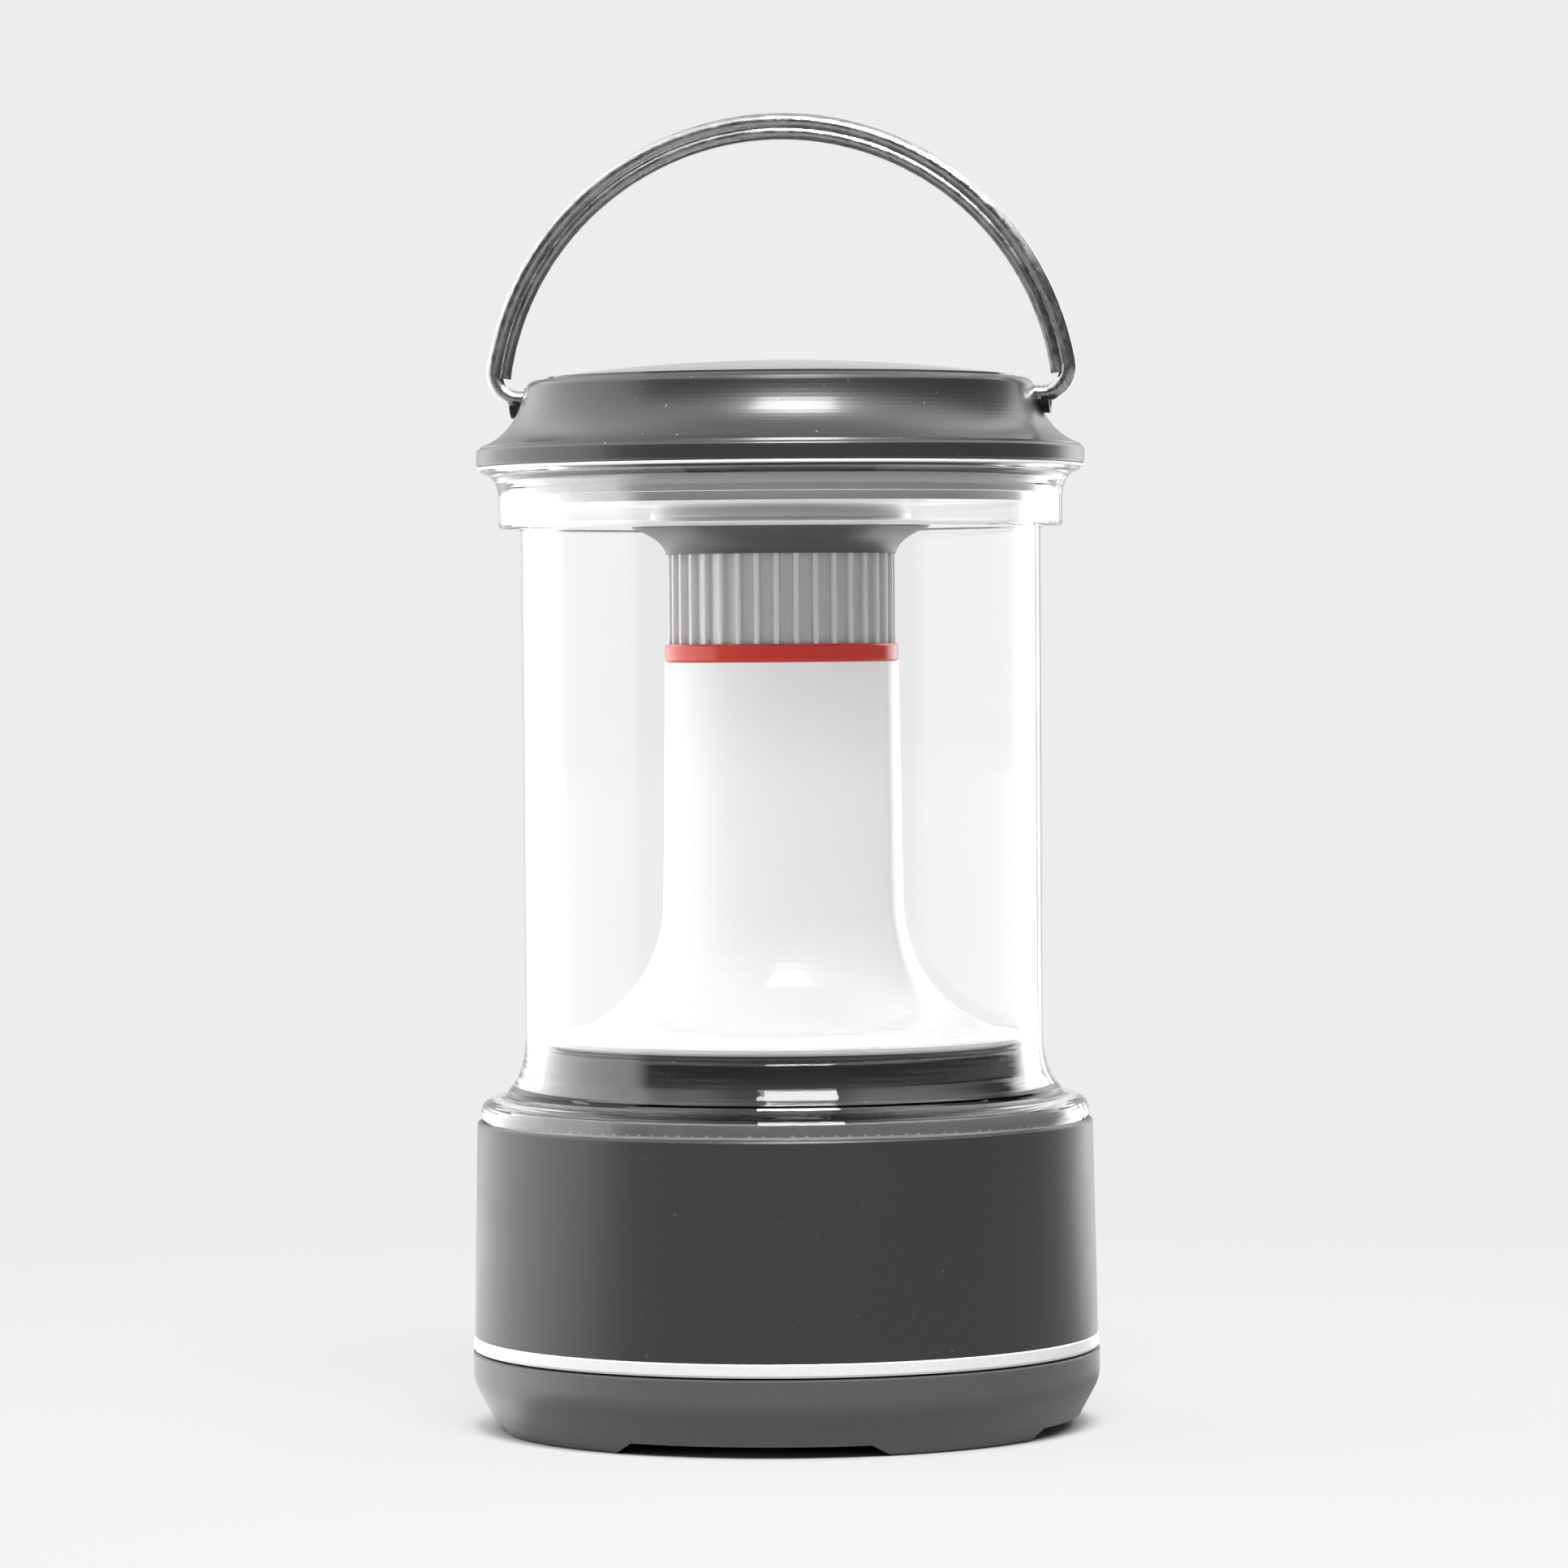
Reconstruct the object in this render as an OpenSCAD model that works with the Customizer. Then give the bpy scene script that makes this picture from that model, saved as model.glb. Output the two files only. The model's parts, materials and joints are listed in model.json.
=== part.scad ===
/* [Base] */
// Diameter of the foot and the widest part of the base
base_d = 120; // [119:0.5:121]
// Height of the rubber foot
foot_h = 15.1; // [14:0.1:16]
// Height of the four pads the lantern stands on
pad_h = 2.2; // [1.8:0.1:2.6]
// Width of each notch between two pads, at the floor
notch_w = 51.6; // [44:0.2:54]
// Height of the pale trim ring above the foot
trim_h = 2.8; // [2.4:0.1:4]
// Height of the top edge of the base shell
shell_top = 58.8; // [58.4:0.1:59.2]
// Height of the shoulder that carries the light
deck_z = 72.7; // [72.4:0.1:73]
// Wall thickness of the moulded housings
wall = 2.2; // [1.8:0.1:2.4]

/* [Globe] */
// Outer diameter of the clear globe
globe_d = 99.6; // [99:0.1:100]
// Wall thickness of the globe
globe_wall = 2.2; // [1.8:0.1:2.4]
// Height of the globe's top edge
globe_top = 178; // [177.6:0.1:178]
// Outer diameter of the clear collar round the top of the globe
collar_d = 108; // [107:0.5:109]

/* [Light] */
// Diameter of the diffuser where it meets the accent ring
diffuser_d = 44.8; // [44.4:0.1:45]
// Height of the diffuser's top edge
diffuser_top = 146.2; // [145.8:0.1:146.4]
// Height of the coloured accent ring
accent_h = 3.4; // [3.2:0.1:3.6]
// Height of the heat sink
sink_h = 17.2; // [16:0.1:17.3]
// Number of ribs round the heat sink
sink_ribs = 36; // [24:4:48]
// Number of light-emitting chips on the lamp board
led_count = 10; // [6:1:12]

/* [Cap] */
// Diameter of the cap's rim
rim_d = 116.2; // [115.6:0.1:116.8]
// Height of the underside of the rim
rim_z = 183.7; // [183.6:0.1:184]
// Height of the cap's flat top edge
cap_top = 200; // [199.8:0.1:200.4]
// Diameter of the domed plate set into the cap
plate_d = 89.8; // [88:0.2:90]
// Height of the dome's centre above its edge
dome_h = 3.1; // [1:0.1:4]

/* [Bail] */
// Height of the bail's pivot axis
pivot_z = 196.8; // [196.6:0.1:197]
// Diameter of the bail wire
wire_d = 3.2; // [3:0.1:3.4]
// Radius of the bail's arch along the middle of the wire
arch_r = 56; // [55.6:0.1:56.2]
// Height of the centre of the arch
arch_z = 193.3; // [193.1:0.1:193.8]

/* [Switch and battery] */
// Diameter of the push button
button_d = 16; // [14:0.5:16]
// Height of the button's centre
button_z = 38; // [36:1:40]
// Diameter of one battery cell
cell_d = 33.2; // [32:0.1:33.2]
// Length of one battery cell with its cap
cell_h = 61.5; // [61:0.1:61.5]

/* [Hidden] */
fine = 180;
mid = 48;
gap = 0.4;               // space left between pieces that turn past each other
base_r = base_d / 2;
trim_z = foot_h + gap / 2;
shell_z = foot_h + trim_h;
shell_in = 57.3;         // inner radius of the base shell
shell_top_r = 58.9;      // the shell draws in slightly towards its top
globe_r = globe_d / 2;
globe_in = globe_r - globe_wall;
collar_r = collar_d / 2;
rim_r = rim_d / 2;
plate_r = plate_d / 2;
wire_r = wire_d / 2;
pilot_r = 1.5;           // hole that a screw bites into
shank_r = 1.4;
hole_r = 1.7;            // hole that a screw passes through
boss_ring = 53.4;        // radius at which the base's screws stand
screw_ring = 15;         // radius at which the light's screws stand
post_ring = 34;          // radius at which the cap's screws stand

// Light stack, from the shoulder up
accent_top = diffuser_top + accent_h;
sink_top = accent_top + sink_h;
sink_r = 21.7;
board_t = 1.6;
board_z = deck_z + 1.9;      // underside of the driver board, on its three stand-offs
lead_x = 6;
collar_z = sink_top + 5.5;   // top of the flared collar over the heat sink
ceiling_z = globe_top - 1.6; // underside of the ceiling

// Battery bay, from the door up
door_z = 3.7;             // underside of the door, above the rubber's web
floor_z = door_z + 1.4;   // top of the door's floor
carrier_z = floor_z + 0.5;
strip_t = 0.3;
lower_strip_z = carrier_z + 1.4;
upper_strip_z = deck_z - 1.9;
cell_r = cell_d / 2;
cell_step = cell_r + 0.2;
nub_h = 1.5;
spring_h = upper_strip_z - lower_strip_z - strip_t - cell_h;
housing_in = 43;
housing_r = 44.8;

// Bayonet between the door and the base shell
ledge_top = 20.1;
lug_z = ledge_top + gap;
lug_h = 2;
door_r = 55.4;
lug_r = shell_in - 0.3;

// Bail hook: a bend turns the arch's end into a pin on the pivot axis
bend_r = 5;
arch_a = asin((pivot_z - arch_z + bend_r) / (arch_r - bend_r));
bend_x = (arch_r - bend_r) * cos(arch_a);
pin_in = 43.5;           // inner end of the pivot pin

function arc(x, y, rx, ry, a0, a1, n = 12) =
    [for (i = [0:n]) let (a = a0 + (a1 - a0) * i / n) [x + rx * cos(a), y + ry * sin(a)]];

module turned(outline) rotate_extrude($fn = fine) polygon(outline);

module ring(r_in, r_out, z0, z1) turned([[r_in, z0], [r_out, z0], [r_out, z1], [r_in, z1]]);

module ring_part(r_in, r_out, z0, z1, middle, span)
    rotate([0, 0, middle - span / 2])
        rotate_extrude(angle = span, $fn = fine)
            translate([r_in, z0]) square([r_out - r_in, z1 - z0]);

module around(n, r, start = 0)
    for (i = [0:n - 1]) rotate([0, 0, start + 360 * i / n]) translate([r, 0, 0]) children();

// A pan-head screw that points down, with its head's underside at z
module screw(z, length, head_r = 2.6, head_h = 1.8, r = shank_r) {
    translate([0, 0, z - length]) cylinder(r = r, h = length, $fn = mid);
    difference() {
        translate([0, 0, z]) cylinder(r = head_r, h = head_h, $fn = mid);
        for (a = [0, 90]) rotate([0, 0, a])
            translate([-head_r * 0.7, -0.35, z + head_h - 0.7]) cube([head_r * 1.4, 0.7, 2]);
    }
}

// Base

module base_shell() color("dimgray") difference() {
    union() {
        turned(concat([[shell_in, shell_z], [59.7, shell_z], [shell_top_r, shell_top - 0.8]],
                      arc(shell_top_r - 0.8, shell_top - 0.8, 0.8, 0.8, 0, 90, 4),
                      [[56.9, shell_top], [56.9, shell_top - 3], [shell_in, shell_top - 4]]));
        ring(shell_in - 1.4, shell_in + 0.1, trim_z + 0.2, ledge_top);
        around(4, boss_ring, 45) translate([0, 0, 34]) cylinder(r = 3.6, h = 10.9, $fn = mid);
        around(4, boss_ring, 45) translate([0, -1, 34]) cube([4.4, 2, 10.9]);
        for (i = [0:3])
            ring_part(shell_in - 1.3, shell_in + 0.1, ledge_top - 0.1, lug_z + lug_h, 90 * i - 18, 3);
    }
    for (i = [0:3]) ring_part(shell_in - 2, shell_in, trim_z, ledge_top + 0.1, 90 * i + 45, 34);
    around(4, boss_ring, 45) translate([0, 0, 30]) cylinder(r = hole_r, h = 20, $fn = mid);
    around(4, boss_ring, 45) translate([0, 0, 33]) cylinder(r = 2.8, h = 6, $fn = mid);
    translate([0, 50, button_z]) rotate([-90, 0, 0]) cylinder(r = button_d / 2 + 2.7, h = 20, $fn = fine);
}

module trim_ring() color("whitesmoke")
    turned([[shell_in + 0.15, trim_z], [59.7, trim_z], [59.85, trim_z + 0.4], [59.85, shell_z - 0.3],
            [59.6, shell_z], [shell_in + 0.15, shell_z]]);

// The shoulder sweeps outwards, towards its foot, along this arc
sweep_r = 9;
sweep_z = 68.2;

module shoulder_ring() color([0.13, 0.13, 0.14]) difference() {
    union() {
        turned(concat([[44, deck_z - 1.6], [46, deck_z - 1.6], [46.2, 60.2], [48, 57.2], [56.6, 57.2],
                       [56.6, shell_top], [53.6, shell_top]],
                      arc(sweep_r + 47, sweep_z, sweep_r, sweep_r, 255, 180, 12),
                      arc(45.3, deck_z - 1.5, 1.5, 1.5, 6, 90, 6),
                      [[44, deck_z]]));
        around(4, boss_ring, 45) translate([0, 0, 45.2]) cylinder(r = 3.2, h = 12.2, $fn = mid);
    }
    around(4, boss_ring, 45) translate([0, 0, 44]) cylinder(r = pilot_r, h = 11, $fn = mid);
}

module base_screws() color("silver") around(4, boss_ring, 45) mirror([0, 0, 1]) screw(-39, 14, 2.4);

module battery_housing() color("dimgray") difference() {
    union() {
        ring(housing_in, housing_r, floor_z + 1.3, deck_z - 1.7);
        ring(housing_in, 43.9, deck_z - 3, deck_z - 1.4);
        translate([0, 0, deck_z - 1.5]) cylinder(r = 43.9, h = 1.5, $fn = fine);
        around(3, screw_ring, 90) translate([0, 0, deck_z]) cylinder(r = 2.6, h = 1.9, $fn = mid);
    }
    around(3, screw_ring, 90) translate([0, 0, deck_z - 1]) cylinder(r = 1.1, h = 4, $fn = mid);
    for (x = [-lead_x, lead_x]) translate([x, 0, deck_z - 3]) cylinder(r = 1.2, h = 6, $fn = mid);
}

// Battery

// A cell's own frame stands on its contact; every second cell is turned over
module in_cell(i) {
    rotate([0, 0, 90 * i]) translate([cell_step, cell_step, 0])
        if (i % 2 == 0) translate([0, 0, upper_strip_z]) mirror([0, 0, 1]) children();
        else translate([0, 0, lower_strip_z + strip_t]) children();
}

module battery_carrier() color("black") {
    translate([0, 0, carrier_z]) cylinder(r = 42.3, h = 1.4, $fn = fine);
    translate([0, 0, carrier_z]) cylinder(r = 5, h = 54, $fn = mid);
    around(4, 37.4) translate([0, -3, carrier_z]) cube([4.6, 6, 52]);
    ring(40.9, 42.3, 56, 60);
}

module battery_cells() color("goldenrod")
    for (i = [0:3]) in_cell(i)
        turned([[0, nub_h], [cell_r - 1, nub_h], [cell_r, nub_h + 1], [cell_r, cell_h - 0.6],
                [cell_r - 0.6, cell_h], [0, cell_h]]);

module cell_terminals() color("silver")
    for (i = [0:3]) in_cell(i) turned([[0, 0], [4.3, 0], [4.75, 0.4], [4.75, nub_h], [0, nub_h]]);

module lower_contacts() color("gold")
    for (a = [0, 180]) rotate([0, 0, a])
        difference() {
            translate([-25, 8, lower_strip_z]) cube([50, 18, strip_t]);
            translate([0, 6, lower_strip_z - 1]) cylinder(r = 6, h = 3, $fn = mid);
        }

module upper_contacts() color("gold")
    for (a = [0, 180]) rotate([0, 0, a])
        translate([8, -25, upper_strip_z]) cube([18, 50, strip_t]);

// A short conical spring, swept along a spiral that closes as it rises
module cone_spring(r0, r1, h, wire, turns) {
    sides = 6;
    per_turn = 14;
    n = turns * per_turn;
    points = [for (i = [0:n], k = [0:sides - 1])
        let (t = i / n, a = 360 * turns * t, r = r0 + (r1 - r0) * t, b = 360 * k / sides)
        [(r + wire / 2 * cos(b)) * cos(a), (r + wire / 2 * cos(b)) * sin(a),
         wire / 2 + (h - wire) * t + wire / 2 * sin(b)]];
    skin = [for (i = [0:n - 1], k = [0:sides - 1])
        let (a = i * sides + k, b = i * sides + (k + 1) % sides) [a, a + sides, b + sides, b]];
    ends = [[for (k = [0:sides - 1]) k], [for (k = [sides - 1:-1:0]) n * sides + k]];
    polyhedron(points = points, faces = concat(skin, ends));
}

module contact_springs() color("silver")
    for (i = [0:3]) in_cell(i) translate([0, 0, cell_h + 0.05])
        cone_spring(3.4, 7.5, spring_h - 0.1, 0.8, 2);

// Switch

board_y = 45.7;          // back of the switch's board, held between the bezel's two arms

module along_y(y) translate([0, y, button_z]) rotate([-90, 0, 0]) children();

module button_bezel() color("gray") difference() {
    union() {
        along_y(54) cylinder(r = button_d / 2 + 2.6, h = 4.7, $fn = fine);
        along_y(58.7) cylinder(r1 = button_d / 2 + 2.6, r2 = button_d / 2 + 2.3, h = 0.3, $fn = fine);
        along_y(54) cylinder(r = button_d / 2 + 4, h = 1.7, $fn = fine);
        for (s = [-1, 1]) translate([s * 11 - 1, board_y, button_z - 4]) cube([2, 9, 8]);
    }
    along_y(50) cylinder(r = button_d / 2 + 0.4, h = 12, $fn = fine);
}

module power_button() color("dimgray") {
    along_y(52.4) cylinder(r = button_d / 2 + 1.2, h = 1.2, $fn = fine);
    along_y(53.5) cylinder(r = button_d / 2, h = 5.2, $fn = fine);
    along_y(0) turned(concat([[0, 58.6], [button_d / 2, 58.6]],
                             arc(button_d / 2 - 0.6, 58.6, 0.6, 0.6, 0, 90, 5), [[0, 59.2]]));
}

module switch_board() color("seagreen") translate([-9.8, board_y, button_z - 8]) cube([19.6, board_t, 16]);

module power_switch() color("black") {
    translate([-6, board_y + board_t, button_z - 6]) cube([12, 3, 12]);
    along_y(board_y + board_t + 3) cylinder(r = 1.8, h = 0.5, $fn = mid);
}

// Door and foot

module battery_door() color("dimgray") {
    turned([[0, door_z], [door_r, door_z], [door_r, lug_z + lug_h], [53.2, lug_z + lug_h],
            [53.2, floor_z], [0, floor_z]]);
    for (i = [0:3]) ring_part(door_r - 1, lug_r, lug_z, lug_z + lug_h, 90 * i, 28);
}

// The rubber is one turned ring; four notches with sloping ends leave it standing on four pads
module foot_sleeve() color([0.35, 0.35, 0.35]) difference() {
    turned(concat([[46, 0], [55, 0], [55.6, 0.5], [56.4, 2.6]],
                  arc(base_r - 8, 11.2, 8, 8, -28, 0, 6),
                  [[base_r, foot_h - 0.5], [base_r - 0.5, foot_h - 0.2], [door_r, foot_h - 0.2],
                   [door_r, door_z], [46, door_z]]));
    slope = 3.3;
    for (i = [0:3]) rotate([90, 0, 90 * i + 90]) translate([0, 0, 30]) linear_extrude(40)
        polygon([[-notch_w / 2 - slope, -pad_h], [notch_w / 2 + slope, -pad_h],
                 [notch_w / 2 - slope, pad_h], [slope - notch_w / 2, pad_h]]);
}

module door_gasket() color("black") turned(arc(54.3, lug_z + lug_h + 0.6, 0.6, 0.6, 0, 350, 24));

// Light

// The trumpet's flare is a quarter of an ellipse; grow moves it outwards from the centre of that ellipse
flare_x = 47;
flare_z = 101;
flare_rx = 24;
flare_rz = 26;

module diffuser() color([0.95, 0.95, 0.94])
    turned(concat([[diffuser_d / 2 - 2, diffuser_top], [diffuser_d / 2, diffuser_top]],
                  arc(flare_x, flare_z, flare_rx, flare_rz, 180, 268, 24),
                  [[46.6, 74.6], [46.4, 73.9], [45.8, 73.6]],
                  arc(flare_x - 1.2, flare_z - 0.6, flare_rx + 1, flare_rz + 1, 269, 180, 24)));

module reflector_cone() color("white")
    turned([[36, deck_z + 0.2], [36, deck_z + 1.4], [8, 92], [6, 92], [6, 96], [3.7, 96], [3.7, 90.6],
            [7.2, 90.6], [33.4, deck_z + 1.2], [33.4, deck_z + 0.2]]);

module driver_board() color("seagreen") difference() {
    translate([0, 0, board_z]) cylinder(r = 20, h = board_t, $fn = fine);
    around(3, screw_ring, 90) translate([0, 0, deck_z]) cylinder(r = 1.6, h = 5, $fn = mid);
    for (x = [-lead_x, lead_x]) translate([x, 0, deck_z]) cylinder(r = 1.2, h = 6, $fn = mid);
}

module driver_parts() color("darkslategray") translate([0, 0, board_z + board_t]) {
    translate([0, -10, 0]) cylinder(r = 4.5, h = 4, $fn = mid);
    for (x = [-8.5, 8.5]) translate([x, 9, 0]) cylinder(r = 2.5, h = 5, $fn = mid);
    translate([9, -1, 0]) cube([5, 4, 1.4]);
    for (i = [0:3]) translate([-13, -2 + 2.2 * i, 0]) cube([2, 1.2, 0.8]);
}

module board_screws() color("silver") around(3, screw_ring, 90) screw(board_z + board_t, 2.4, 2.4, 1.4, 1);

module wire_tube() color("white") ring(2.6, 3.6, 88, accent_top - board_t - 1.4);

module lead_wires() color("red") for (x = [-1.2, 1.2])
    translate([x, 0, board_z + board_t]) cylinder(r = 0.8, h = accent_top - board_z - 2 * board_t, $fn = 24);

module battery_leads() color("black") for (x = [-lead_x, lead_x])
    translate([x, 0, deck_z - 1.5]) cylinder(r = 0.8, h = 5.6, $fn = 24);

module accent_ring() color([0.78, 0.2, 0.18])
    turned([[19, diffuser_top], [22, diffuser_top], [22.3, diffuser_top + 0.4], [22.3, accent_top - 0.4],
            [22, accent_top], [19, accent_top]]);

module lamp_board() color("white") difference() {
    translate([0, 0, accent_top - board_t]) cylinder(r = 18.8, h = board_t, $fn = fine);
    around(2, screw_ring) translate([0, 0, accent_top - 3]) cylinder(r = 1.5, h = 6, $fn = mid);
}

module lamp_chips() color("khaki")
    around(led_count, 9) translate([-1.4, -1.75, accent_top - board_t - 0.8]) cube([2.8, 3.5, 0.8]);

module lamp_screws() color("silver") around(2, screw_ring)
    mirror([0, 0, 1]) screw(board_t - accent_top, 6.5, 2.4, 1.4, 1.2);

module heat_sink() color("lightgray") difference() {
    translate([0, 0, accent_top]) linear_extrude(sink_h) {
        circle(r = sink_r - 1.1, $fn = fine);
        for (i = [0:sink_ribs - 1]) rotate(360 * i / sink_ribs)
            translate([sink_r - 2, -0.5]) square([2, 1]);
    }
    translate([0, 0, sink_top - 12]) cylinder(r = 10, h = 13, $fn = fine);
    around(3, screw_ring, 60) translate([0, 0, sink_top - 10]) cylinder(r = pilot_r, h = 11, $fn = mid);
    around(2, screw_ring) translate([0, 0, accent_top - 1]) cylinder(r = 1.3, h = 6.5, $fn = mid);
}

module sink_screws() color("silver") around(3, screw_ring, 60) screw(sink_top + 2.3, 10, 2.6, 1.8);

module sink_collar() color([0.3, 0.3, 0.31]) difference() {
    turned(concat([[0, sink_top + 0.1], [22, sink_top + 0.1]],
                  arc(46, sink_top - 0.3, 24, 7.8, 178, 137, 8),
                  [[28.3, collar_z], [19, collar_z], [19, sink_top + 2.3], [0, sink_top + 2.3]]));
    around(3, screw_ring, 60) translate([0, 0, sink_top - 1]) cylinder(r = hole_r, h = 6, $fn = mid);
}

module ceiling_reflector() color([0.5, 0.5, 0.51]) difference() {
    union() {
        turned(concat([[18, collar_z + 0.05]],
                      arc(21.4, collar_z + 1.4, 3.6, 2.7, -30, 80, 8),
                      [[47.2, ceiling_z], [47.2, globe_top + 0.1], [51.9, globe_top + 0.1],
                       [51.9, rim_z + 0.7], [50.3, rim_z + 0.7], [50.3, globe_top + 2.2],
                       [0, globe_top + 2.2], [0, ceiling_z + 1.6], [18, ceiling_z + 1.6]]));
        around(4, post_ring, 45) translate([0, 0, ceiling_z + 1]) cylinder(r = 3.8, h = 19.6, $fn = mid);
    }
    translate([0, 0, ceiling_z + 3.6]) cylinder(r = 26, h = 4, $fn = fine);
    around(4, post_ring, 45) translate([0, 0, ceiling_z + 8]) cylinder(r = pilot_r, h = 14, $fn = mid);
}

// Globe

module lower_seal() color("gainsboro") ring(54, 56.2, shell_top + 0.02, shell_top + 0.8);

module globe() color([0.85, 0.9, 0.93, 0.35])
    turned(concat([[globe_in, globe_top], [globe_in, 74.6]],
                  arc(52, 74.6, 52 - globe_in, 12, 180, 217, 6),
                  [[50.2, 64.4], [53.5, 62.3], [56.4, 61.5], [56.4, shell_top + 0.1],
                   [57.9, shell_top + 0.1]],
                  arc(55.2, 60.3, 3.1, 3, -15, 90, 8),
                  arc(54.6, 65.1, 1.8, 1.8, 270, 190, 5),
                  arc(54.8, 74.6, 55 - globe_r, 10.5, 238, 180, 8),
                  [[globe_r, globe_top]]));

module globe_collar() color([0.85, 0.9, 0.93, 0.35])
    turned(concat([[globe_r + 0.3, globe_top - 6.4]],
                  arc(collar_r - 1.2, globe_top - 5.2, 1.2, 1.2, -90, 0, 5),
                  [[collar_r, globe_top - 0.4]],
                  arc(collar_r + 3.4, rim_z - 5.6, 3.4, 4.2, 180, 100, 8),
                  [[57.3, rim_z - 1.2], [57.3, rim_z - 0.05], [54.9, rim_z - 0.05], [52.4, globe_top + 1.5],
                   [52.4, globe_top - 0.2], [globe_r + 0.3, globe_top - 0.2]]));

module upper_seal() color("gainsboro") ring(53.2, 55, rim_z + 0.02, rim_z + 0.8);

// Cap

plate_seat = 199.5;
flank_x = 60;
flank_z = 201;
flank_rx = 11.4;
flank_rz = 13.9;
boss_in = 45;

module along_x(x) translate([x, 0, pivot_z]) rotate([0, 90, 0]) children();

module top_cap() color([0.3, 0.3, 0.31]) difference() {
    union() {
        turned(concat([[55.4, rim_z], [rim_r - 0.3, rim_z], [rim_r, rim_z + 0.4]],
                      arc(rim_r - 0.8, rim_z + 2.6, 0.8, 0.8, 0, 80, 5),
                      arc(flank_x, flank_z, flank_rx, flank_rz, 256, 190, 18),
                      arc(46.6, cap_top - 2, 2, 2, 10, 90, 5),
                      [[plate_r + 0.35, cap_top], [plate_r + 0.35, plate_seat], [0, plate_seat],
                       [0, plate_seat - wall], [45.6, plate_seat - wall]],
                      arc(flank_x, flank_z, flank_rx + wall, flank_rz + wall, 200, 246, 12),
                      [[55.4, rim_z + 2]]));
        for (m = [0, 1]) mirror([m, 0, 0]) {
            along_x(boss_in) cylinder(r = 3, h = 2.2, $fn = mid);
            intersection() {
                along_x(47.5) cylinder(r = 3.7, h = 4.4, $fn = mid);
                translate([45, -5, pivot_z - 6.2]) cube([8, 10, 5]);
            }
        }
    }
    for (m = [0, 1]) mirror([m, 0, 0]) {
        along_x(40) cylinder(r = wire_r + 0.06, h = 15, $fn = mid);
        along_x(bend_x - 0.1) cylinder(r = 2.7, h = 10, $fn = mid);
        translate([42.8, -3.4, pivot_z - 3.4]) cube([boss_in - 42.8, 6.8, 8]);
    }
    around(4, post_ring, 45) translate([0, 0, 190]) cylinder(r = hole_r, h = 12, $fn = mid);
    around(4, post_ring, 45) translate([0, 0, plate_seat - 1.6]) cylinder(r = 3, h = 3, $fn = mid);
}

module cap_screws() color("silver") around(4, post_ring, 45) screw(plate_seat - 1.6, 9, 2.6, 1.5);

module cap_top_plate() color([0.42, 0.42, 0.43]) {
    edge_z = cap_top + 0.5;
    dome_r = (plate_r * plate_r + dome_h * dome_h) / (2 * dome_h);
    dome_a = asin(plate_r / dome_r);
    turned(concat([[0, plate_seat], [plate_r, plate_seat]],
                  arc(0, edge_z + dome_h - dome_r, dome_r, dome_r, 90 - dome_a, 90, 10)));
}

// Bail

module upright(z) translate([0, 0, z]) rotate([90, 0, 0]) children();

module bail_wire() color([0.55, 0.55, 0.57]) {
    upright(arch_z) rotate_extrude(angle = 180 - 2 * arch_a, start = arch_a, $fn = fine)
        translate([arch_r, 0]) circle(r = wire_r, $fn = mid);
    lap = 1.5;           // angle by which the slightly thinner bend runs into its neighbours
    for (m = [0, 1]) mirror([m, 0, 0]) {
        translate([bend_x, 0, pivot_z + bend_r]) rotate([90, 0, 0])
            rotate_extrude(angle = 90 + arch_a + 2 * lap, start = -90 - lap, $fn = fine)
                translate([bend_r, 0]) circle(r = wire_r - 0.03, $fn = mid);
        along_x(pin_in) cylinder(r = wire_r, h = bend_x - pin_in, $fn = mid);
    }
}

// Slimmer wire that lies against the inside of the arch
module bail_liner() color([0.5, 0.5, 0.52]) {
    liner_r = 1.35;
    liner_a = 8;         // angle above the horizontal at which its two ends stop
    liner_c = arch_r - wire_r - 0.55;
    upright(arch_z) rotate_extrude(angle = 180 - 2 * liner_a, start = liner_a, $fn = fine) difference() {
        translate([liner_c, 0]) circle(r = liner_r, $fn = mid);
        translate([arch_r, 0]) circle(r = wire_r + 0.01, $fn = mid);
    }
}

module bail_clips() color("silver") for (m = [0, 1]) mirror([m, 0, 0])
    along_x(pin_in + 0.4) difference() {
        cylinder(r = 2.4, h = 0.8, $fn = mid);
        translate([0, 0, -1]) cylinder(r = wire_r, h = 3, $fn = mid);
    }

base_shell();
trim_ring();
shoulder_ring();
battery_housing();
base_screws();
battery_carrier();
battery_cells();
cell_terminals();
lower_contacts();
upper_contacts();
contact_springs();
button_bezel();
switch_board();
power_switch();
power_button();
battery_door();
foot_sleeve();
door_gasket();
reflector_cone();
driver_board();
driver_parts();
board_screws();
wire_tube();
lead_wires();
battery_leads();
diffuser();
accent_ring();
lamp_board();
lamp_chips();
lamp_screws();
heat_sink();
sink_screws();
sink_collar();
ceiling_reflector();
lower_seal();
globe();
globe_collar();
upper_seal();
top_cap();
cap_screws();
cap_top_plate();
bail_wire();
bail_liner();
bail_clips();
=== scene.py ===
import bpy
import bmesh
import json
import math
from mathutils import Matrix, Vector


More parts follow.
